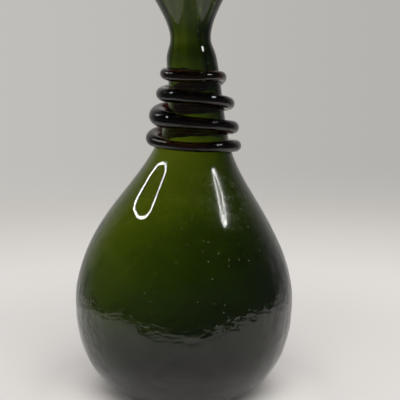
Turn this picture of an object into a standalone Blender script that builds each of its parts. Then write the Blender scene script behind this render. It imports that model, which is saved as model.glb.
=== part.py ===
"""Free-blown flask of dark olive-green glass, with a trail of near-black glass round its neck.

Metres, +Z up. The origin is in the middle of the foot, on the surface that the flask stands on.
+X is to the right of someone who looks at its front, and -Y points at them.
"""

import math

import bmesh
import bpy
import numpy as np

# The outside, from the foot up. Each rise is measured from the ring before it.
FOOT_RADIUS = 0.025
FOOT_LAND = 0.004
BELLY_RISE = 0.056
BELLY_RADIUS = 0.0655
HAUNCH_RISE = 0.030
HAUNCH_RADIUS = 0.0594
SHOULDER_RISE = 0.029
SHOULDER_RADIUS = 0.0435
NECK_FOOT_RISE = 0.027
NECK_FOOT_RADIUS = 0.0258
LOW_NECK_RISE = 0.021
LOW_NECK_RADIUS = 0.0184
MID_NECK_RISE = 0.023
MID_NECK_RADIUS = 0.0155
HIGH_NECK_RISE = 0.015
HIGH_NECK_RADIUS = 0.0146
THROAT_RISE = 0.014
THROAT_RADIUS = 0.0121
FUNNEL_RISE = 0.013
FUNNEL_RADIUS = 0.0163
RIM_RISE = 0.020
RIM_RADIUS = 0.0274

# How full the lower body is: 2 turns an ellipse, and more turns a squarer heel.
HEEL_FULLNESS = 2.15

# The neck bows to the right: how far each ring's centre stands off the middle of the foot.
NECK_FOOT_BOW = 0.0042
LOW_NECK_BOW = 0.0066
MID_NECK_BOW = 0.0065
HIGH_NECK_BOW = 0.0048
THROAT_BOW = 0.0040
RIM_BOW = 0.0026

# The wall, and the punt pushed up into the base. The bubble was blown a little to the left.
BASE_WALL = 0.0065
HEEL_WALL = 0.0052
HEEL_WALL_Z = 0.016
BELLY_WALL = 0.0042
HAUNCH_WALL = 0.0036
SHOULDER_WALL = 0.0024
NECK_FOOT_WALL = 0.0021
NECK_WALL = 0.0032
RIM_WALL = 0.0028
PUNT_HEIGHT = 0.010
BODY_BUBBLE_OFFSET = 0.0012
NECK_BUBBLE_OFFSET = 0.0007

# The trail, wound down the neck from its thin upper end. Each row gives the turns made since
# the left side, the drop below the first turn, and the thickness there.
TRAIL_BELOW_THROAT = 0.0226
TRAIL_ROWS = (
    (-0.36, -0.0014, 0.0040),
    (-0.15, -0.0008, 0.0056),
    (0.00, -0.0001, 0.0066),
    (0.25, 0.0016, 0.0065),
    (0.50, 0.0019, 0.0060),
    (0.62, 0.0050, 0.0072),
    (0.75, 0.0078, 0.0080),
    (0.88, 0.0102, 0.0080),
    (1.00, 0.0117, 0.0080),
    (1.25, 0.0135, 0.0075),
    (1.50, 0.0176, 0.0072),
    (1.75, 0.0204, 0.0084),
    (1.88, 0.0214, 0.0095),
    (2.00, 0.0243, 0.0106),
    (2.25, 0.0280, 0.0077),
    (2.50, 0.0317, 0.0079),
    (2.75, 0.0345, 0.0080),
    (2.88, 0.0354, 0.0085),
    (3.00, 0.0379, 0.0082),
    (3.12, 0.0400, 0.0060),
    (3.25, 0.0413, 0.0055),
    (3.38, 0.0417, 0.0066),
    (3.50, 0.0425, 0.0072),
    (3.66, 0.0438, 0.0060),
)
TRAIL_FIRST_SINK = 0.0022
TRAIL_LATER_SINK = 0.0004
TRAIL_TAIL = 0.012
TRAIL_TAIL_END = 0.30
TRAIL_GAP = 0.0003

# Mesh fineness.
SEGMENTS = 48
HEEL_STEPS = 9
BODY_STEPS = 8
NECK_STEPS = 16
PUNT_STEPS = 5
LIP_STEPS = 4
INSIDE_STEPS = 19
TRAIL_STEPS_PER_TURN = 30
TRAIL_SIDES_LEVEL = 3
MERGE = 0.00001

BELLY_Z = BELLY_RISE
HAUNCH_Z = BELLY_Z + HAUNCH_RISE
SHOULDER_Z = HAUNCH_Z + SHOULDER_RISE
NECK_FOOT_Z = SHOULDER_Z + NECK_FOOT_RISE
LOW_NECK_Z = NECK_FOOT_Z + LOW_NECK_RISE
MID_NECK_Z = LOW_NECK_Z + MID_NECK_RISE
HIGH_NECK_Z = MID_NECK_Z + HIGH_NECK_RISE
THROAT_Z = HIGH_NECK_Z + THROAT_RISE
FUNNEL_Z = THROAT_Z + FUNNEL_RISE
RIM_Z = FUNNEL_Z + RIM_RISE


def smooth_line(places, values, level_start=False):
    """Return a cubic spline through the values, as a function of the place."""
    places = np.array(places, float)
    values = np.array(values, float)
    spans = np.diff(places)
    slopes = np.diff(values) / spans
    matrix = np.eye(len(places))
    turns = np.zeros(len(places))
    for i in range(1, len(places) - 1):
        matrix[i, i - 1:i + 2] = spans[i - 1], 2 * (spans[i - 1] + spans[i]), spans[i]
        turns[i] = 6 * (slopes[i] - slopes[i - 1])
    if level_start:
        matrix[0, :2] = 2 * spans[0], spans[0]
        turns[0] = 6 * slopes[0]
    bends = np.linalg.solve(matrix, turns)

    def value(place):
        place = min(max(place, places[0]), places[-1])
        i = min(int(np.searchsorted(places, place, side="right")) - 1, len(spans) - 1)
        after = (place - places[i]) / spans[i]
        before = 1 - after
        sag = (before**3 - before) * bends[i] + (after**3 - after) * bends[i + 1]
        return float(before * values[i] + after * values[i + 1] + sag * spans[i]**2 / 6)

    return value


upper_radius = smooth_line(
    (BELLY_Z, HAUNCH_Z, SHOULDER_Z, NECK_FOOT_Z, LOW_NECK_Z, MID_NECK_Z, HIGH_NECK_Z,
     THROAT_Z, FUNNEL_Z, RIM_Z),
    (BELLY_RADIUS, HAUNCH_RADIUS, SHOULDER_RADIUS, NECK_FOOT_RADIUS, LOW_NECK_RADIUS,
     MID_NECK_RADIUS, HIGH_NECK_RADIUS, THROAT_RADIUS, FUNNEL_RADIUS, RIM_RADIUS),
    level_start=True,
)

neck_bow = smooth_line(
    (HAUNCH_Z, NECK_FOOT_Z, LOW_NECK_Z, MID_NECK_Z, HIGH_NECK_Z, THROAT_Z, RIM_Z),
    (0.0, NECK_FOOT_BOW, LOW_NECK_BOW, MID_NECK_BOW, HIGH_NECK_BOW, THROAT_BOW, RIM_BOW),
    level_start=True,
)

trail_drop = smooth_line([row[0] for row in TRAIL_ROWS], [row[1] for row in TRAIL_ROWS])
trail_thickness = smooth_line([row[0] for row in TRAIL_ROWS], [row[2] for row in TRAIL_ROWS])


def outer_radius(z):
    """The radius of the outside at a height."""
    if z >= BELLY_Z:
        return upper_radius(z)
    rise = max(z, 0.0) / BELLY_Z
    swell = (1 - (1 - rise) ** HEEL_FULLNESS) ** (1 / HEEL_FULLNESS)
    return FOOT_RADIUS + (BELLY_RADIUS - FOOT_RADIUS) * swell


def wall(z):
    """The thickness of the glass at a height, outside the foot."""
    heights = (0.0, HEEL_WALL_Z, BELLY_Z, HAUNCH_Z, SHOULDER_Z, NECK_FOOT_Z, MID_NECK_Z, THROAT_Z,
               RIM_Z)
    walls = (BASE_WALL, HEEL_WALL, BELLY_WALL, HAUNCH_WALL, SHOULDER_WALL, NECK_FOOT_WALL,
             NECK_WALL, NECK_WALL, RIM_WALL)
    return float(np.interp(z, heights, walls))


def outside():
    """Points down the outside, from the lip to the middle of the punt: radius, height, wall."""
    points = []
    for z in np.linspace(RIM_Z, NECK_FOOT_Z, NECK_STEPS, endpoint=False):
        points.append((outer_radius(z), z, wall(z)))
    for z in np.linspace(NECK_FOOT_Z, BELLY_Z, BODY_STEPS, endpoint=False):
        points.append((outer_radius(z), z, wall(z)))
    for angle in np.linspace(0, math.pi / 2, HEEL_STEPS, endpoint=False):
        z = BELLY_Z * (1 - math.sin(angle) ** (2 / HEEL_FULLNESS))
        points.append((outer_radius(z), z, wall(z)))
    points.append((FOOT_RADIUS, 0.0, BASE_WALL))
    punt_radius = FOOT_RADIUS - FOOT_LAND
    for radius in np.linspace(punt_radius, 0.0, PUNT_STEPS + 1):
        lift = PUNT_HEIGHT * (1 + math.cos(math.pi * radius / punt_radius)) / 2
        points.append((radius, lift, BASE_WALL))
    return points


def flask_profile():
    """The glass from the middle of the inside floor, up to the lip and down the outside."""
    outer = outside()
    places = np.array([point[:2] for point in outer])
    walls = np.array([point[2] for point in outer])
    along = np.gradient(places, axis=0)
    along /= np.linalg.norm(along, axis=1)[:, None]
    along[-1] = (-1.0, 0.0)
    inward = np.column_stack((along[:, 1], -along[:, 0]))
    inner = places + inward * walls[:, None]
    inner[-1, 0] = 0.0

    middle = (places[0] + inner[0]) / 2
    half = RIM_WALL / 2
    lip = []
    for step in range(1, LIP_STEPS):
        angle = math.pi * step / LIP_STEPS
        lip.append(middle + half * (math.cos(angle) * inward[0] - math.sin(angle) * along[0]))
    kept = np.linspace(len(inner) - 2, 0, INSIDE_STEPS + 1).round().astype(int)
    return [inner[-1], *inner[kept], *lip, *places]


def turn_profile(name, profile):
    """Turn a profile of radius and height about Z, and give the result as a mesh."""
    line = bpy.data.meshes.new(name + "_profile")
    points = [(float(radius), 0.0, float(z)) for radius, z in profile]
    line.from_pydata(points, [(i, i + 1) for i in range(len(points) - 1)], [])
    turned = bpy.data.objects.new(name + "_profile", line)
    bpy.context.scene.collection.objects.link(turned)
    screw = turned.modifiers.new("Turn", "SCREW")
    screw.steps = SEGMENTS
    screw.render_steps = SEGMENTS
    screw.use_merge_vertices = True
    screw.merge_threshold = MERGE
    return as_mesh(turned, name)


def as_mesh(source, name):
    """Replace an object by the mesh that it evaluates to, welded shut."""
    bpy.context.view_layer.update()
    evaluated = source.evaluated_get(bpy.context.evaluated_depsgraph_get())
    mesh = bpy.data.meshes.new_from_object(evaluated)
    mesh.name = name
    shape = bmesh.new()
    shape.from_mesh(mesh)
    bmesh.ops.remove_doubles(shape, verts=shape.verts, dist=MERGE)
    bmesh.ops.recalc_face_normals(shape, faces=shape.faces)
    shape.to_mesh(mesh)
    shape.free()
    bpy.data.objects.remove(source)
    return mesh


def place(mesh, collection, material=None):
    """Put a mesh in a collection, smooth but for its sharp edges."""
    mesh.shade_smooth()
    mesh.set_sharp_from_angle(angle=math.radians(40))
    if material:
        mesh.materials.append(material)
    placed = bpy.data.objects.new(mesh.name, mesh)
    collection.objects.link(placed)
    return placed


def glass(name, colour):
    """A smooth, see-through glass of one colour."""
    material = bpy.data.materials.new(name)
    material.use_nodes = True
    shader = material.node_tree.nodes["Principled BSDF"]
    shader.inputs["Base Color"].default_value = (*colour, 1.0)
    shader.inputs["Roughness"].default_value = 0.03
    shader.inputs["Metallic"].default_value = 0.0
    shader.inputs["IOR"].default_value = 1.5
    shader.inputs["Transmission Weight"].default_value = 1.0
    return material


def bow(mesh):
    """Carry each ring to its place on the bowed neck."""
    for vertex in mesh.vertices:
        vertex.co.x += neck_bow(vertex.co.z)


def shift_bubble(mesh):
    """Move the inside to the left, so that the right wall is the thicker one."""
    heights = (0.0, BELLY_Z, HAUNCH_Z, SHOULDER_Z, THROAT_Z, RIM_Z)
    offsets = (0.0, BODY_BUBBLE_OFFSET, BODY_BUBBLE_OFFSET, NECK_BUBBLE_OFFSET,
               NECK_BUBBLE_OFFSET, 0.0)
    for vertex in mesh.vertices:
        z = vertex.co.z
        depth = (outer_radius(z) - math.hypot(vertex.co.x, vertex.co.y)) / wall(z)
        vertex.co.x -= float(np.interp(z, heights, offsets)) * min(max(depth, 0.0), 1.0)


def make_flask(collection):
    """The hollow glass: body, neck, funnel mouth and punt in one."""
    mesh = turn_profile("flask", flask_profile())
    shift_bubble(mesh)
    bow(mesh)
    return place(mesh, collection, glass("green_glass", (0.07, 0.10, 0.008)))


def make_neck_clearance(collection):
    """The neck's outside and the gap round it, which the trail is cut to."""
    sleeve = [(outer_radius(z) + TRAIL_GAP, z)
              for _, z, _ in outside() if SHOULDER_Z < z < THROAT_Z]
    top = sleeve[0][1]
    bottom = sleeve[-1][1]
    mesh = turn_profile("neck_clearance", [(0.0, top), *sleeve, (0.0, bottom)])
    bow(mesh)
    cutter = place(mesh, collection)
    cutter.hide_render = True
    cutter.display_type = "WIRE"
    return cutter


def trail_points():
    """The middle of the trail along its turns, with the half thickness at each point."""
    first = TRAIL_ROWS[0][0]
    last = TRAIL_ROWS[-1][0]
    count = round((last - first) * TRAIL_STEPS_PER_TURN)
    points = []
    for turn in np.linspace(first, last, count + 1):
        z = THROAT_Z - TRAIL_BELOW_THROAT - trail_drop(turn)
        reach = 2 * math.pi * outer_radius(z)
        to_end = min(turn - first, last - turn) * reach / TRAIL_TAIL
        tail = 1 - (1 - min(to_end, 1.0)) ** 2 * (1 - TRAIL_TAIL_END)
        half = trail_thickness(turn) / 2 * tail
        sink = np.interp(turn, (0.5, 1.0), (TRAIL_FIRST_SINK, TRAIL_LATER_SINK))
        distance = outer_radius(z) + half - sink
        angle = math.pi * (1 + 2 * turn)
        x = neck_bow(z) + distance * math.cos(angle)
        y = distance * math.sin(angle)
        points.append((x, y, z, half))
    return points


def make_trail(collection, clearance):
    """The trail: one thread of glass, laid round the neck and flattened against it."""
    points = trail_points()
    curve = bpy.data.curves.new("neck_trail", "CURVE")
    curve.dimensions = "3D"
    curve.bevel_depth = 1.0
    curve.bevel_resolution = TRAIL_SIDES_LEVEL
    curve.use_fill_caps = True
    line = curve.splines.new("POLY")
    line.points.add(len(points) - 1)
    for spot, (x, y, z, half) in zip(line.points, points):
        spot.co = (x, y, z, 1.0)
        spot.radius = half
    thread = bpy.data.objects.new("neck_trail_line", curve)
    bpy.context.scene.collection.objects.link(thread)
    mesh = as_mesh(thread, "neck_trail")
    trail = place(mesh, collection, glass("dark_glass", (0.012, 0.006, 0.008)))
    cut = trail.modifiers.new("Lie on the neck", "BOOLEAN")
    cut.object = clearance
    cut.operation = "DIFFERENCE"
    cut.solver = "EXACT"
    return trail


def main():
    for old in list(bpy.data.objects):
        bpy.data.objects.remove(old)
    flask_parts = bpy.data.collections.new("glass_flask")
    cutters = bpy.data.collections.new("cutters")
    for collection in (flask_parts, cutters):
        bpy.context.scene.collection.children.link(collection)
    make_flask(flask_parts)
    make_trail(flask_parts, make_neck_clearance(cutters))


main()
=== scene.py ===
import math

import bmesh
import bpy
import numpy as np
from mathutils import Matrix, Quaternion, Vector, noise


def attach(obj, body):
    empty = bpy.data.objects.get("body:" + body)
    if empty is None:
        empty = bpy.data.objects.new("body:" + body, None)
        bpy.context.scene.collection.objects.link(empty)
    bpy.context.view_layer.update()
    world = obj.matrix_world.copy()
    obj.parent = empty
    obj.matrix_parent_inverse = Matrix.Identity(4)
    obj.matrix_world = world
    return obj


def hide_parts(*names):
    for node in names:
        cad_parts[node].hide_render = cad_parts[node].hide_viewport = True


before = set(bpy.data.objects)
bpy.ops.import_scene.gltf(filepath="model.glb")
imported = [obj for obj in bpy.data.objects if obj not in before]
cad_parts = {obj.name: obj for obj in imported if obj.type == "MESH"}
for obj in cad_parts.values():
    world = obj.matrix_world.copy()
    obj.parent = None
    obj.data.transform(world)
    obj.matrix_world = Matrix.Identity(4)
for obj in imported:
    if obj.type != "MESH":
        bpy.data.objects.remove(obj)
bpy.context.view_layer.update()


# The view: a camera 0.6 m in front of the flask and a little right of its middle, held
# level with the neck and tipped down, so that the mouth's edge and the foot leave the frame.
VIEW_ANGLE = math.radians(22.89)
CAMERA_PLACE = (0.0096, -0.5868, 0.2015)
CAMERA_TIP = math.radians(8.18)

camera_data = bpy.data.cameras.new("photo_view")
camera_data.sensor_fit = "HORIZONTAL"
camera_data.angle = VIEW_ANGLE
camera_data.clip_start = 0.01
camera = bpy.data.objects.new("photo_view", camera_data)
camera.location = CAMERA_PLACE
camera.rotation_euler = (math.pi / 2 - CAMERA_TIP, 0.0, 0.0)
bpy.context.scene.collection.objects.link(camera)
bpy.context.scene.camera = camera


# The blown glass: body, bowed neck, funnel mouth and punt in one hollow piece of dark olive
# green glass. It was blown free, so its wall is uneven, with tiny bubbles in it; the base was
# pushed up with a tool, and a ring of torn glass is left there where the rod broke off.
FOOT_RADIUS = 0.025
FOOT_LAND = 0.004
HEEL_FULLNESS = 2.15
BELLY_Z = 0.056
RIM_Z = 0.248
PUNT_HEIGHT = 0.010
OUTLINE = (  # height, radius
    (BELLY_Z, 0.0655),
    (0.086, 0.0594),
    (0.115, 0.0435),
    (0.142, 0.0258),
    (0.163, 0.0184),
    (0.186, 0.0155),
    (0.201, 0.0146),
    (0.215, 0.0121),
    (0.228, 0.0163),
    (RIM_Z, 0.0274),
)
NECK_BOW = (  # height, shift to the right
    (0.086, 0.0),
    (0.142, 0.0042),
    (0.163, 0.0066),
    (0.186, 0.0065),
    (0.201, 0.0048),
    (0.215, 0.0040),
    (RIM_Z, 0.0026),
)
BASE_WALL = 0.0065
RIM_WALL = 0.0028
WALLS = (  # height, thickness
    (0.0, BASE_WALL),
    (0.016, 0.0052),
    (BELLY_Z, 0.0042),
    (0.086, 0.0036),
    (0.115, 0.0024),
    (0.142, 0.0021),
    (0.186, 0.0032),
    (0.215, 0.0032),
    (RIM_Z, RIM_WALL),
)
BUBBLE_OFFSETS = (  # height, shift of the inside to the left
    (0.0, 0.0),
    (BELLY_Z, 0.0012),
    (0.086, 0.0012),
    (0.115, 0.0007),
    (0.215, 0.0007),
    (RIM_Z, 0.0),
)
SEGMENTS = 220
OUTER_SPACING = 0.0015
INNER_STRIDE = 2
LIP_STEPS = 8
UPPER_SAMPLES = 2000
HEEL_SAMPLES = 800
PUNT_SAMPLES = 200


def rise(values, low, high):
    """0 under low, 1 over high, and straight between."""
    return np.clip((values - low) / (high - low), 0.0, 1.0)


def smooth_line(rows, level_start=False):
    """A cubic spline through rows of place and value, which takes an array of places."""
    places, values = (np.array(column, float) for column in zip(*rows))
    spans = np.diff(places)
    slopes = np.diff(values) / spans
    matrix = np.eye(len(places))
    turns = np.zeros(len(places))
    for i in range(1, len(places) - 1):
        matrix[i, i - 1:i + 2] = spans[i - 1], 2 * (spans[i - 1] + spans[i]), spans[i]
        turns[i] = 6 * (slopes[i] - slopes[i - 1])
    if level_start:
        matrix[0, :2] = 2 * spans[0], spans[0]
        turns[0] = 6 * slopes[0]
    bends = np.linalg.solve(matrix, turns)

    def value(place):
        place = np.clip(place, places[0], places[-1])
        i = np.clip(np.searchsorted(places, place, side="right") - 1, 0, len(spans) - 1)
        after = (place - places[i]) / spans[i]
        before = 1 - after
        sag = (before**3 - before) * bends[i] + (after**3 - after) * bends[i + 1]
        return before * values[i] + after * values[i + 1] + sag * spans[i]**2 / 6

    return value


def straight_line(rows):
    """Straight runs through rows of place and value, as a function of an array of places."""
    places, values = zip(*rows)
    return lambda place: np.interp(place, places, values)


upper_radius = smooth_line(OUTLINE, level_start=True)
neck_bow = smooth_line(NECK_BOW, level_start=True)
wall_at = straight_line(WALLS)
bubble_offset = straight_line(BUBBLE_OFFSETS)


def outer_radius(z):
    """The radius of the outside at each height."""
    up = rise(np.asarray(z), 0.0, BELLY_Z)
    swell = (1 - (1 - up) ** HEEL_FULLNESS) ** (1 / HEEL_FULLNESS)
    lower = FOOT_RADIUS + (OUTLINE[0][1] - FOOT_RADIUS) * swell
    return np.where(np.asarray(z) >= BELLY_Z, upper_radius(z), lower)


def even_steps(line, spacing):
    """The same line of points, with its points the same distance apart."""
    lengths = np.concatenate(([0.0], np.cumsum(np.linalg.norm(np.diff(line, axis=0), axis=1))))
    count = max(2, int(lengths[-1] / spacing))
    marks = np.linspace(0.0, lengths[-1], count + 1)
    return np.column_stack([np.interp(marks, lengths, line[:, axis]) for axis in (0, 1)])


def outer_line():
    """The outside from the lip to the middle of the punt, as radius and height."""
    upper = np.linspace(RIM_Z, BELLY_Z, UPPER_SAMPLES)
    angles = np.linspace(0.0, math.pi / 2, HEEL_SAMPLES)[1:]
    lower = BELLY_Z * (1 - np.sin(angles) ** (2 / HEEL_FULLNESS))
    heights = np.concatenate((upper, lower))
    side = np.column_stack((outer_radius(heights), heights))
    punt_radius = FOOT_RADIUS - FOOT_LAND
    radii = np.linspace(punt_radius, 0.0, PUNT_SAMPLES)
    punt = np.column_stack((radii, PUNT_HEIGHT * (1 + np.cos(math.pi * radii / punt_radius)) / 2))
    return even_steps(np.vstack((side, punt)), OUTER_SPACING)


def glass_profile():
    """The outline of the cut glass, with the wall's inward direction and which side it is."""
    outer = outer_line()
    along = np.gradient(outer, axis=0)
    along /= np.linalg.norm(along, axis=1)[:, None]
    along[-1] = (-1.0, 0.0)
    inward = np.column_stack((along[:, 1], -along[:, 0]))
    under = np.arange(len(outer)) > np.argmin(outer[:, 1])
    walls = np.where(under, BASE_WALL, wall_at(outer[:, 1]))
    inner = outer + inward * walls[:, None]
    inner[-1, 0] = 0.0
    middle = (outer[0] + inner[0]) / 2
    angles = math.pi * np.arange(1, LIP_STEPS) / LIP_STEPS
    lip_out = np.cos(angles)[:, None] * inward[0] - np.sin(angles)[:, None] * along[0]
    lip = middle + RIM_WALL / 2 * lip_out
    up_inside = np.vstack((inner[-1], inner[-2:0:-INNER_STRIDE], inner[0]))
    up_inward = np.vstack((inward[-1], inward[-2:0:-INNER_STRIDE], inward[0]))
    points = np.vstack((up_inside, lip, outer))
    out_of_glass = np.vstack((up_inward, lip_out, -inward))
    inside = np.arange(len(points)) < len(up_inside)
    return points, out_of_glass, inside


NOISE_STEPS = (7.3, 3.1, 5.7)
OFF_FOOT = (0.0015, 0.0115)
OFF_LIP = 0.006
PUNT_MARGIN = 0.001
BODY_ENDS = (0.088, 0.118)
NECK_STARTS = (0.150, 0.180)
MOUTH_STARTS = (0.216, 0.226)
MOUTH_STREAKS_START = (0.224, 0.232)
SLOW_SWELLS = ((0.00018, 0.055, 1), (0.00005, 0.022, 2))  # height, size, seed
BODY_RIPPLES = ((0.00022, 0.015, 3), (0.00010, 0.0075, 4))
BODY_CREASES = ((0.00008, 0.007, 14),)
BODY_CREASE_STRETCH = (1.0, 1.0, 2.0)
INSIDE_SWELLS = ((0.00030, 0.034, 6), (0.00012, 0.016, 7), (0.00005, 0.008, 8))
FINE_STREAKS = ((0.00030, 0.006, 12),)
STREAK_STRETCH = (1.0, 1.0, 0.35)
STREAK_COUNT = 9
STREAK_DEPTH = 0.00016
STREAK_TWIST = 40
STREAK_WANDER = ((2.0, 0.08, 5),)
MOUTH_STREAK_GAIN = 1.2
NECK_SWELL = 0.00036
NECK_SWELL_Z = 0.2075
NECK_SWELL_REACH = 0.010
NECK_THICKER_RIGHT = 0.0006
BODY_THICKER_RIGHT = 0.00015
BODY_THICKER_FRONT_BACK = 0.0003
BODY_THINNER = 0.0001
PONTIL_RADIUS = 0.0065
PONTIL_REACH = 0.012
PONTIL_WIDTH = 0.0016
PONTIL_HEIGHT = 0.0010
PONTIL_TEARS = ((0.5, 0.0022, 9), (0.3, 0.0009, 10))
PONTIL_CRUMBS = ((0.00016, 0.0012, 11),)


def waves(places, size, seed):
    """Smooth noise between -1 and 1 at each place, with swells of about the given size."""
    shift = Vector([seed * step for step in NOISE_STEPS])
    return np.array([noise.noise(Vector(place) / size + shift) for place in places])


def swells(places, rows):
    """A sum of waves, from rows of height, size and seed."""
    return sum(height * waves(places, size, seed) for height, size, seed in rows)


def glass_skin(places, inside):
    """How far the real, uneven skin stands proud of the true turned one at each place."""
    radius = np.hypot(places[:, 0], places[:, 1])
    height = places[:, 2]
    angle = np.arctan2(places[:, 1], places[:, 0])
    off_foot = rise(height, *OFF_FOOT)
    off_lip = rise(RIM_Z - height, 0.0, OFF_LIP)
    low = (height < PUNT_HEIGHT + PUNT_MARGIN) & (radius < FOOT_RADIUS) & ~inside
    off_foot = np.where(low, 0.0, off_foot)
    low_down = 1 - rise(height, *BODY_ENDS)
    in_neck = rise(height, *NECK_STARTS)
    under_mouth = 1 - rise(height, *MOUTH_STARTS)
    in_mouth = rise(height, *MOUTH_STREAKS_START)
    slow = swells(places, SLOW_SWELLS)
    quick = swells(places, BODY_RIPPLES) + swells(places * BODY_CREASE_STRETCH, BODY_CREASES)
    up_swell = (height - NECK_SWELL_Z) / NECK_SWELL_REACH
    swell = -NECK_SWELL * np.sin(math.pi * up_swell) * np.exp(-up_swell ** 2)
    outer = slow + low_down * quick + swell
    turning = STREAK_COUNT * angle + swells(places, STREAK_WANDER) + STREAK_TWIST * height
    streaks = STREAK_DEPTH * np.sin(turning) + swells(places * STREAK_STRETCH, FINE_STREAKS)
    streaks *= 1 + MOUTH_STREAK_GAIN * in_mouth
    lopsided = NECK_THICKER_RIGHT * in_neck * under_mouth * np.cos(angle)
    lopsided += low_down * (BODY_THICKER_RIGHT * np.cos(angle)
                            - BODY_THICKER_FRONT_BACK * np.cos(2 * angle) - BODY_THINNER)
    inner = slow + swells(places, INSIDE_SWELLS) + lopsided + in_neck * streaks
    return np.where(inside, inner, outer) * off_foot * off_lip


def pontil(places, inside):
    """The ring of torn glass under the base, where the rod broke off."""
    radius = np.hypot(places[:, 0], places[:, 1])
    under = ~inside & (places[:, 2] < PUNT_HEIGHT + PUNT_MARGIN) & (radius < PONTIL_REACH)
    ring = np.exp(-((radius - PONTIL_RADIUS) / PONTIL_WIDTH) ** 2)
    torn = 1 + swells(places, PONTIL_TEARS)
    rough = swells(places, PONTIL_CRUMBS) * (radius < PONTIL_RADIUS)
    return np.where(under, PONTIL_HEIGHT * ring * torn + rough, 0.0)


def turned_places(profile, segments):
    """The places round Z of every profile point that is off the axis, ring by ring."""
    turns = 2 * math.pi * np.arange(segments) / segments
    places = np.empty((len(profile), segments, 3))
    places[:, :, 0] = profile[:, :1] * np.cos(turns)
    places[:, :, 1] = profile[:, :1] * np.sin(turns)
    places[:, :, 2] = profile[:, 1:]
    return places.reshape(-1, 3)


def tube_faces(rings, around):
    """Faces round rings of corners that follow one another, with a fan at each end."""
    ring = np.arange(around)
    after = np.roll(ring, -1)
    rows = np.arange(rings - 1)[:, None] * around
    quads = np.stack((rows + ring, rows + after, rows + around + after, rows + around + ring),
                     axis=-1).reshape(-1, 4)
    start, end = rings * around, rings * around + 1
    last_row = (rings - 1) * around
    faces = [(start, int(b), int(a)) for a, b in zip(ring, after)]
    faces += [(end, last_row + int(a), last_row + int(b)) for a, b in zip(ring, after)]
    return faces + quads.tolist()


SEED_COUNT = 120
SEED_CHANCE = 7
SEED_SIZES = (0.00014, 0.00040)
SEED_HEIGHTS = (0.026, 0.232)
SEED_DEPTHS = (0.40, 0.60)
SEED_STRETCHES = (1.1, 2.4)


def seeds():
    """Tiny bubbles shut in the wall, drawn out upwards: their corners and their faces."""
    chance = np.random.default_rng(SEED_CHANCE)
    ball = bmesh.new()
    bmesh.ops.create_icosphere(ball, subdivisions=2, radius=1.0)
    shape = np.array([corner.co for corner in ball.verts])
    shape_faces = np.array([[corner.index for corner in face.verts] for face in ball.faces])
    ball.free()
    corners = []
    faces = []
    for i in range(SEED_COUNT):
        height = chance.uniform(*SEED_HEIGHTS)
        angle = chance.uniform(0.0, 2 * math.pi)
        depth = chance.uniform(*SEED_DEPTHS)
        size = chance.uniform(*SEED_SIZES)
        stretch = chance.uniform(*SEED_STRETCHES)
        radius = float(outer_radius(height)) - float(wall_at(height)) * depth
        middle = np.array((radius * math.cos(angle) - float(bubble_offset(height)) * depth
                           + float(neck_bow(height)), radius * math.sin(angle), height))
        corners.append(middle + shape * (size, size, size * stretch))
        faces.append(shape_faces[:, ::-1] + i * len(shape))
    return np.vstack(corners), np.vstack(faces)


def make_glass():
    """The flask's mesh: the turned profile, its uneven skin, then the bubble's place and the bow."""
    points, outward, inside = glass_profile()
    rings = len(points) - 2
    places = turned_places(points[1:-1], SEGMENTS)
    directions = turned_places(outward[1:-1], SEGMENTS)
    within = np.repeat(inside[1:-1], SEGMENTS)
    skin = glass_skin(places, within) + pontil(places, within)
    places = places + directions * skin[:, None]
    depth = outer_radius(places[:, 2]) - np.hypot(places[:, 0], places[:, 1])
    depth = np.clip(depth / wall_at(places[:, 2]), 0.0, 1.0)
    places[:, 0] -= bubble_offset(places[:, 2]) * depth
    ends = np.array([(0.0, 0.0, points[0, 1]), (0.0, 0.0, points[-1, 1])])
    corners = np.vstack((places, ends))
    corners[:, 0] += neck_bow(corners[:, 2])
    faces = [face[::-1] for face in tube_faces(rings, SEGMENTS)]
    seed_corners, seed_faces = seeds()
    faces += (seed_faces + len(corners)).tolist()
    corners = np.vstack((corners, seed_corners))
    mesh = bpy.data.meshes.new("flask_glass")
    mesh.from_pydata(corners.tolist(), [], faces)
    mesh.shade_smooth()
    return mesh


class Socket:
    """A shader value: Python's operators on it add Math nodes to its tree."""

    def __init__(self, tree, link):
        self.tree = tree
        self.link = link

    def math(self, operation, *others):
        return self.tree.add("ShaderNodeMath", {"operation": operation},
                             {i: value for i, value in enumerate((self, *others))})

    def __add__(self, other):
        return self.math("ADD", other)

    __radd__ = __add__

    def __mul__(self, other):
        return self.math("MULTIPLY", other)

    __rmul__ = __mul__

    def __sub__(self, other):
        return self.math("SUBTRACT", other)

    def __rsub__(self, other):
        return self.math("MULTIPLY", -1.0).math("ADD", other)

    def clamped(self):
        return self.math("MAXIMUM", 0.0).math("MINIMUM", 1.0)

    def above(self, low, high):
        """0 under low, 1 over high, and a smooth rise between."""
        return self.tree.add("ShaderNodeMapRange", {"interpolation_type": "SMOOTHSTEP"},
                             {"Value": self, "From Min": low, "From Max": high})


class Tree:
    """A node tree that is filled by one method for every type of node."""

    def __init__(self, owner):
        owner.use_nodes = True
        self.nodes = owner.node_tree.nodes
        self.links = owner.node_tree.links
        self.nodes.clear()

    def add(self, kind, settings=None, values=None, output=0):
        """Add a node, make its settings, then its sockets' values or links."""
        node = self.nodes.new(kind)
        for name, setting in (settings or {}).items():
            setattr(node, name, setting)
        for name, value in (values or {}).items():
            if isinstance(value, Socket):
                self.links.new(value.link, node.inputs[name])
            else:
                node.inputs[name].default_value = value
        return Socket(self, node.outputs[output]) if len(node.outputs) else node

    def mix(self, factor, first, second):
        """A colour between two colours, which are the Mix node's sockets 6, 7 and 2."""
        return self.add("ShaderNodeMix", {"data_type": "RGBA"},
                        {"Factor": factor, 6: first, 7: second}, output=2)


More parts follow.
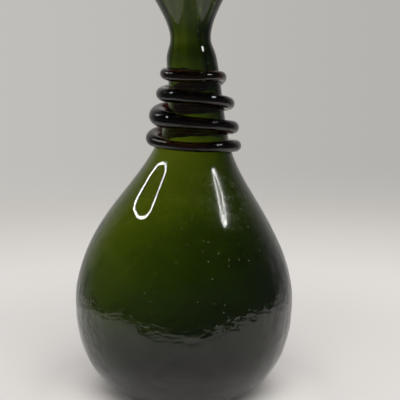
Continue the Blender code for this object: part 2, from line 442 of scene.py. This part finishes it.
def grain(tree, place, size, detail=2.0, roughness=0.5):
    """Noise of about the given size in metres, from 0 to 1."""
    return tree.add("ShaderNodeTexNoise", {},
                    {"Vector": place, "Scale": 1 / size, "Detail": detail, "Roughness": roughness})


GREEN_ABSORPTION = (488.0, 408.0, 1200.0)
ABSORPTION_DENSITY = 1300.0
GLASS_IOR = 1.51
HAZE_PLACE = (0.026, -0.030, 0.123)
HAZE_REACH = 0.030
HAZE_CORE = 0.0105
HAZE_GRAIN = 0.010
HAZE_UNEVEN = 0.6
GREEN_ROUGHNESS = 0.018
HAZE_ROUGHNESS = 0.16
PIT_ROUGHNESS = 0.3
PIT_SPACING = 1 / 1100
PIT_EDGE = (0.10, 0.32)
PIT_DEPTH = 0.000045
PITS_OFF_HAZE = 0.2
PIT_CLUSTER_SIZE = 0.004
PIT_CLUSTERS = (0.44, 0.62)
PIT_COVER = 0.30
RIPPLE_SIZE = 0.0048
RIPPLE_HEIGHT = 0.00036
FAINT_RIPPLE_HEIGHT = 0.000012
FINE_RIPPLE_SIZE = 0.0020
FINE_RIPPLE_HEIGHT = 0.00024
RIPPLES_FADE_IN = (0.020, 0.048)
RIPPLES_AT_FOOT = 0.15
RIPPLES_FADE_OUT = (0.060, 0.090)
SPECK_SPACING = 0.0029
SPECK_EDGE = (0.06, 0.15)
SPECK_CHOICE = (0.70, 0.72)
SPECK_COLOUR = (0.40, 0.41, 0.34, 1.0)
SPECK_COVER = 0.34


def see_through(tree, shader, absorption, density):
    """Finish a material: its surface, and the colour that a metre of its glass takes away."""
    colour = tuple(1 - loss / density for loss in absorption)
    volume = tree.add("ShaderNodeVolumeAbsorption", {},
                      {"Color": (*colour, 1.0), "Density": density})
    tree.add("ShaderNodeOutputMaterial", {}, {"Surface": shader, "Volume": volume})


def green_glass():
    """Dark olive glass: ripples low down, a pitted, hazy patch, and specks of dust all over."""
    material = bpy.data.materials.new("green_glass")
    tree = Tree(material)
    place = tree.add("ShaderNodeTexCoord", output="Object")
    off_patch = tree.add("ShaderNodeVectorMath", {"operation": "DISTANCE"},
                         {0: place, 1: HAZE_PLACE}, output="Value")
    patch = 1 - off_patch.above(HAZE_CORE, HAZE_REACH)
    cells = tree.add("ShaderNodeTexVoronoi", {}, {"Vector": place, "Scale": 1 / PIT_SPACING})
    clusters = grain(tree, place, PIT_CLUSTER_SIZE, 3.0).above(*PIT_CLUSTERS)
    pits = (1 - cells.above(*PIT_EDGE)) * clusters
    uneven = grain(tree, place, HAZE_GRAIN, 4.0) * HAZE_UNEVEN + (1 - HAZE_UNEVEN)
    roughness = GREEN_ROUGHNESS + patch * uneven * HAZE_ROUGHNESS + patch * pits * PIT_ROUGHNESS
    height = tree.add("ShaderNodeSeparateXYZ", {}, {"Vector": place}, output="Z")
    fade_in = height.above(*RIPPLES_FADE_IN) * (1 - RIPPLES_AT_FOOT) + RIPPLES_AT_FOOT
    low_down = (1 - height.above(*RIPPLES_FADE_OUT)) * fade_in
    ripple_height = low_down * RIPPLE_HEIGHT + FAINT_RIPPLE_HEIGHT
    ripple = grain(tree, place, RIPPLE_SIZE, 2.0) * ripple_height
    fine = grain(tree, place, FINE_RIPPLE_SIZE, 1.0) * low_down * FINE_RIPPLE_HEIGHT
    pit_depth = (patch * (1 - PITS_OFF_HAZE) + PITS_OFF_HAZE) * PIT_DEPTH
    skin = ripple + fine - pits * pit_depth
    bumped = tree.add("ShaderNodeBump", {}, {"Strength": 1.0, "Distance": 1.0, "Height": skin})
    shader = tree.add("ShaderNodeBsdfPrincipled", {}, {
        "Base Color": (1.0, 1.0, 1.0, 1.0),
        "Roughness": roughness,
        "IOR": GLASS_IOR,
        "Transmission Weight": 1.0,
        "Normal": bumped,
    })
    spots = {"Vector": place, "Scale": 1 / SPECK_SPACING}
    near_spot = tree.add("ShaderNodeTexVoronoi", {}, spots)
    spot_colour = tree.add("ShaderNodeTexVoronoi", {}, spots, output="Color")
    chance = tree.add("ShaderNodeSeparateColor", {}, {0: spot_colour})
    specks = (1 - near_spot.above(*SPECK_EDGE)) * chance.above(*SPECK_CHOICE)
    dust = tree.add("ShaderNodeBsdfDiffuse", {}, {"Color": SPECK_COLOUR})
    cover = (specks * SPECK_COVER + patch * pits * PIT_COVER).clamped()
    dusty = tree.add("ShaderNodeMixShader", {}, {0: cover, 1: shader, 2: dust})
    see_through(tree, dusty, GREEN_ABSORPTION, ABSORPTION_DENSITY)
    return material


def add_piece(mesh, material, node):
    """Stand a mesh for a node of the frame."""
    mesh.materials.append(material)
    piece = bpy.data.objects.new(mesh.name, mesh)
    bpy.context.scene.collection.objects.link(piece)
    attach(piece, "root")
    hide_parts(node)
    return piece


flask_glass = add_piece(make_glass(), green_glass(), "flask")


# The trail: one thread from a gather of near-black amethyst glass, wound hot down the neck in
# about four turns. It sank a little into the neck, and its thickness wanders as it was drawn.
TRAIL_TOP_Z = 0.1924
TRAIL_ROWS = (  # turns from the left, drop from the top, thickness
    (-0.36, -0.0014, 0.0040),
    (-0.15, -0.0008, 0.0056),
    (0.00, -0.0001, 0.0066),
    (0.25, 0.0016, 0.0065),
    (0.50, 0.0019, 0.0060),
    (0.62, 0.0050, 0.0072),
    (0.75, 0.0078, 0.0080),
    (0.88, 0.0102, 0.0080),
    (1.00, 0.0117, 0.0080),
    (1.25, 0.0135, 0.0075),
    (1.50, 0.0176, 0.0072),
    (1.75, 0.0204, 0.0084),
    (1.88, 0.0214, 0.0095),
    (2.00, 0.0243, 0.0106),
    (2.25, 0.0280, 0.0077),
    (2.50, 0.0317, 0.0079),
    (2.75, 0.0345, 0.0080),
    (2.88, 0.0354, 0.0085),
    (3.00, 0.0379, 0.0082),
    (3.12, 0.0400, 0.0060),
    (3.25, 0.0413, 0.0055),
    (3.38, 0.0417, 0.0066),
    (3.50, 0.0425, 0.0072),
    (3.66, 0.0438, 0.0060),
)
TRAIL_TIP = 0.6
TRAIL_SINKS = ((0.5, 0.0022), (1.0, 0.0004))
TRAIL_TAIL = 0.012
TRAIL_TAIL_END = 0.16
TRAIL_SIDES = 40
TRAIL_STEPS_PER_TURN = 150
TRAIL_DENTS = ((0.00005, 0.014, 21),)
SKIN_ALLOWANCE = 0.00025
TRAIL_CLEARANCE = 0.00006
DARK_ABSORPTION = (385.0, 690.0, 860.0)
DARK_DENSITY = 1000.0
DARK_RIPPLE_SIZE = 0.0032
DARK_RIPPLE_HEIGHT = 0.000003
DARK_ROUGHNESS = 0.005
SMEAR_SIZE = 0.012
SMEARS = (0.5, 0.8)
SMEAR_ROUGHNESS = 0.02

trail_drop = smooth_line([row[:2] for row in TRAIL_ROWS])
trail_thickness = smooth_line([(row[0], row[2]) for row in TRAIL_ROWS])
trail_sink = straight_line(TRAIL_SINKS)


def trail_course():
    """The middle of the trail along its turns, and its half thickness there."""
    first, last = TRAIL_ROWS[0][0], TRAIL_ROWS[-1][0]
    turns = np.linspace(first, last, int((last - first) * TRAIL_STEPS_PER_TURN) + 1)
    z = TRAIL_TOP_Z - trail_drop(turns)
    reach = 2 * math.pi * outer_radius(z)
    to_end = np.clip(np.minimum(turns - first, last - turns) * reach / TRAIL_TAIL, 0.0, 1.0)
    tail = 1 - (1 - to_end) ** 2 * (1 - TRAIL_TAIL_END)
    half = trail_thickness(turns) / 2 * tail
    distance = outer_radius(z) + half - trail_sink(turns)
    angle = math.pi * (1 + 2 * turns)
    middle = np.column_stack((neck_bow(z) + distance * np.cos(angle), distance * np.sin(angle), z))
    return middle, half


def make_trail():
    """The trail's mesh: a tube along its course, flattened where it lies on the neck."""
    middle, half = trail_course()
    along = np.gradient(middle, axis=0)
    along /= np.linalg.norm(along, axis=1)[:, None]
    out = middle - np.column_stack((neck_bow(middle[:, 2]), np.zeros(len(middle)), middle[:, 2]))
    out -= along * np.sum(out * along, axis=1)[:, None]
    out /= np.linalg.norm(out, axis=1)[:, None]
    up = np.cross(along, out)
    sides = 2 * math.pi * np.arange(TRAIL_SIDES) / TRAIL_SIDES
    ring = out[:, None] * np.cos(sides)[:, None] + up[:, None] * np.sin(sides)[:, None]
    places = middle[:, None] + ring * half[:, None, None]
    flat = places.reshape(-1, 3)
    dents = swells(flat, TRAIL_DENTS)
    flat = flat + ring.reshape(-1, 3) * dents[:, None]
    flat = np.vstack((flat, middle[0] - along[0] * half[0] * TRAIL_TIP,
                      middle[-1] + along[-1] * half[-1] * TRAIL_TIP))
    off_axis = flat[:, :2] - np.column_stack((neck_bow(flat[:, 2]), np.zeros(len(flat))))
    distance = np.linalg.norm(off_axis, axis=1)
    least = outer_radius(flat[:, 2]) + SKIN_ALLOWANCE + TRAIL_CLEARANCE
    push = np.maximum(least / distance, 1.0)
    flat[:, :2] += off_axis * (push - 1)[:, None]
    mesh = bpy.data.meshes.new("neck_trail_glass")
    mesh.from_pydata(flat.tolist(), [], tube_faces(len(middle), TRAIL_SIDES))
    mesh.shade_smooth()
    return mesh


def dark_glass():
    """Amethyst glass so deep that it looks black, but brown-red where it is thin."""
    material = bpy.data.materials.new("dark_glass")
    tree = Tree(material)
    place = tree.add("ShaderNodeTexCoord", output="Object")
    ripple = grain(tree, place, DARK_RIPPLE_SIZE, 1.0) * DARK_RIPPLE_HEIGHT
    bumped = tree.add("ShaderNodeBump", {}, {"Strength": 1.0, "Distance": 1.0, "Height": ripple})
    smears = grain(tree, place, SMEAR_SIZE, 3.0).above(*SMEARS)
    roughness = DARK_ROUGHNESS + smears * SMEAR_ROUGHNESS
    shader = tree.add("ShaderNodeBsdfPrincipled", {}, {
        "Base Color": (1.0, 1.0, 1.0, 1.0),
        "Roughness": roughness,
        "IOR": GLASS_IOR,
        "Transmission Weight": 1.0,
        "Normal": bumped,
    })
    see_through(tree, shader, DARK_ABSORPTION, DARK_DENSITY)
    return material


neck_trail_glass = add_piece(make_trail(), dark_glass(), "neck_trail")


# The stand-in studio: a pale floor that is lit as a pool and fades into the room, with painted
# shade near the flask and painted light just under its foot, a pale room behind, a dark one in
# front, a soft lamp overhead and two ring lamps that only glint.
FLOOR_SIZE = 1.2
FLOOR_FADE = (0.26, 0.95)
TABLE_FRONT = 0.175
TABLE_HALF_WIDTH = 0.36
TABLE_EDGE = 0.012
TABLE_SIDES_END = (0.0, 0.3)
# Painted shade: behind the flask the floor shows dimmer in what the glass mirrors.
FLOOR_DIM_BEHIND = 0.6
FLOOR_BEHIND = (0.05, 0.30)
# The floor's colour is painted in rings: painted light just under the foot, where the flask's shadow
# falls, and painted shade near the flask, paler further out.
FLOOR_PAINTED_LIGHT_ENDS = (0.050, 0.092)
FLOOR_PAINTED_SHADE_ENDS = (0.16, 0.40)
FLOOR_UNDER_PAINTED_LIGHT = (0.88, 0.843, 0.811, 1.0)
FLOOR_NEAR_PAINTED_SHADE = (0.66, 0.633, 0.609, 1.0)
FLOOR_FAR = (0.76, 0.728, 0.701, 1.0)
ROOM_LEFT_ENDS = (-0.25, 0.25)
ROOM_LOW_ENDS = (-0.20, -0.10)
ROOM_UNDER_ENDS = (-0.75, -0.30)
ROOM_DIM_ENDS = (0.20, 0.55)
ROOM_BEHIND_STARTS = (0.25, 0.95)
ROOM_BEHIND_TOP = (0.45, 0.85)
ROOM_PALE_LEFT = (0.535, 0.520, 0.495, 1.0)
ROOM_PALE_RIGHT = (0.460, 0.447, 0.425, 1.0)
ROOM_LOW = (0.600, 0.580, 0.555, 1.0)
ROOM_DARK = (0.030, 0.030, 0.031, 1.0)
ROOM_DIM = (0.080, 0.080, 0.082, 1.0)
ROOM_UNDER = (0.22, 0.22, 0.22, 1.0)
ROOM_BEHIND = (0.43, 0.42, 0.40, 1.0)
ROOM_AMBIENT = (0.62, 0.62, 0.62, 1.0)
OVERHEAD_PLACE = (0.06, -0.55, 1.00)
OVERHEAD_SIZE = 1.1
OVERHEAD_POWER = 10.4
RING_LAMPS = (  # azimuth, elevation, distance, radius, tube, flattening, roll
    (-98.0, 40.0, 0.55, 0.1750, 0.013, 0.36, 22.0),
    (75.0, 41.5, 0.55, 0.0760, 0.018, 0.40, 24.0),
)
RING_AIM = (0.005, 0.0, 0.165)
RING_GLOW = 20.0
RING_COLOUR = (1.0, 1.0, 0.97, 1.0)


def make_floor():
    """A pale round floor that fades away, and that ends nearer in the flask's reflections. Its
    colour holds painted shade near the flask and painted light just under the foot, and behind
    the flask it shows dimmer in the reflections, as painted shade.
    """
    material = bpy.data.materials.new("pale_floor")
    tree = Tree(material)
    place = tree.add("ShaderNodeTexCoord", output="Object")
    out = tree.add("ShaderNodeVectorMath", {"operation": "LENGTH"}, {0: place}, output="Value")
    seen = 1 - out.above(*FLOOR_FADE)
    to_right = tree.add("ShaderNodeSeparateXYZ", {}, {"Vector": place}, output="X")
    to_back = tree.add("ShaderNodeSeparateXYZ", {}, {"Vector": place}, output="Y")
    in_front = 1 - to_back.above(-TABLE_FRONT - TABLE_EDGE, -TABLE_FRONT)
    beside = to_right.math("ABSOLUTE").above(TABLE_HALF_WIDTH, TABLE_HALF_WIDTH + TABLE_EDGE)
    beside = beside * (1 - to_back.above(*TABLE_SIDES_END))
    glossy = tree.add("ShaderNodeLightPath", output="Is Glossy Ray")
    through = tree.add("ShaderNodeLightPath", output="Is Transmission Ray")
    # Painted shade: behind the flask the floor is partly faded out of the glass's reflections, but
    # not out of what is seen through the glass.
    behind = to_back.above(*FLOOR_BEHIND) * FLOOR_DIM_BEHIND * (1 - through)
    gone = glossy * in_front.math("MAXIMUM", beside).math("MAXIMUM", behind)
    # Painted shade near the flask, then painted light just under its foot, in the floor's colour.
    colour = tree.mix(out.above(*FLOOR_PAINTED_SHADE_ENDS), FLOOR_NEAR_PAINTED_SHADE, FLOOR_FAR)
    colour = tree.mix(out.above(*FLOOR_PAINTED_LIGHT_ENDS), FLOOR_UNDER_PAINTED_LIGHT, colour)
    paint = tree.add("ShaderNodeBsdfDiffuse", {}, {"Color": colour})
    air = tree.add("ShaderNodeBsdfTransparent")
    faded = tree.add("ShaderNodeMixShader", {}, {0: seen * (1 - gone), 1: air, 2: paint})
    tree.add("ShaderNodeOutputMaterial", {}, {"Surface": faded})
    bpy.ops.mesh.primitive_circle_add(vertices=96, radius=FLOOR_SIZE, fill_type="NGON")
    floor = bpy.context.object
    floor.name = "floor"
    floor.data.materials.append(material)


def make_room():
    """The room's light: pale to look at, dark in front where the glass mirrors it."""
    world = bpy.data.worlds.new("room")
    bpy.context.scene.world = world
    tree = Tree(world)
    direction = tree.add("ShaderNodeTexCoord", output="Generated")
    to_right = tree.add("ShaderNodeSeparateXYZ", {}, {"Vector": direction}, output="X")
    to_back = tree.add("ShaderNodeSeparateXYZ", {}, {"Vector": direction}, output="Y")
    to_top = tree.add("ShaderNodeSeparateXYZ", {}, {"Vector": direction}, output="Z")
    high = tree.mix(to_right.above(*ROOM_LEFT_ENDS), ROOM_PALE_LEFT, ROOM_PALE_RIGHT)
    pale = tree.mix(to_top.above(*ROOM_LOW_ENDS), ROOM_LOW, high)
    behind = to_back.above(*ROOM_BEHIND_STARTS) * (1 - to_top.above(*ROOM_BEHIND_TOP))
    in_front = tree.mix(to_top.above(*ROOM_DIM_ENDS), ROOM_DIM, ROOM_DARK)
    over_table = tree.mix(to_top.above(*ROOM_UNDER_ENDS), ROOM_UNDER, in_front)
    mirrored = tree.mix(behind, over_table, ROOM_BEHIND)
    glossy = tree.add("ShaderNodeLightPath", output="Is Glossy Ray")
    diffuse = tree.add("ShaderNodeLightPath", output="Is Diffuse Ray")
    seen = tree.mix(glossy, pale, mirrored)
    light = tree.mix(diffuse, seen, ROOM_AMBIENT)
    background = tree.add("ShaderNodeBackground", {}, {"Color": light, "Strength": 1.0})
    tree.add("ShaderNodeOutputWorld", {}, {"Surface": background})


def make_overhead():
    """The soft lamp overhead, which the glass doesn't mirror."""
    lamp_data = bpy.data.lights.new("overhead", "AREA")
    lamp_data.shape = "DISK"
    lamp_data.size = OVERHEAD_SIZE
    lamp_data.energy = OVERHEAD_POWER
    lamp = bpy.data.objects.new("overhead", lamp_data)
    lamp.location = OVERHEAD_PLACE
    lamp.rotation_euler = Vector(OVERHEAD_PLACE).to_track_quat("Z", "Y").to_euler()
    lamp.visible_glossy = False
    lamp.visible_transmission = False
    lamp.visible_camera = False
    bpy.context.scene.collection.objects.link(lamp)


def make_ring_lamp(azimuth, elevation, distance, radius, tube, flattening, roll):
    """A ring lamp that is seen only where the glass mirrors it."""
    turn, lift = math.radians(azimuth), math.radians(elevation)
    away = Vector((math.sin(turn) * math.cos(lift), -math.cos(turn) * math.cos(lift),
                   math.sin(lift)))
    bpy.ops.mesh.primitive_torus_add(major_radius=radius, minor_radius=tube,
                                     major_segments=96, minor_segments=16)
    lamp = bpy.context.object
    lamp.name = "ring_lamp"
    lamp.location = Vector(RING_AIM) + away * distance
    facing = away.to_track_quat("Z", "Y") @ Quaternion((0.0, 0.0, 1.0), math.radians(roll))
    lamp.rotation_euler = facing.to_euler()
    lamp.scale = (1.0, flattening, 1.0)
    material = bpy.data.materials.new("ring_glow")
    tree = Tree(material)
    glow = tree.add("ShaderNodeEmission", {}, {"Color": RING_COLOUR, "Strength": RING_GLOW})
    tree.add("ShaderNodeOutputMaterial", {}, {"Surface": glow})
    lamp.data.materials.append(material)
    for kind in ("camera", "diffuse", "transmission", "shadow", "volume_scatter"):
        setattr(lamp, "visible_" + kind, False)


make_floor()
make_room()
make_overhead()
for lamp_row in RING_LAMPS:
    make_ring_lamp(*lamp_row)

bpy.context.scene.view_settings.view_transform = "Standard"
bpy.context.scene.view_settings.look = "None"
bpy.context.scene.render.film_transparent = False
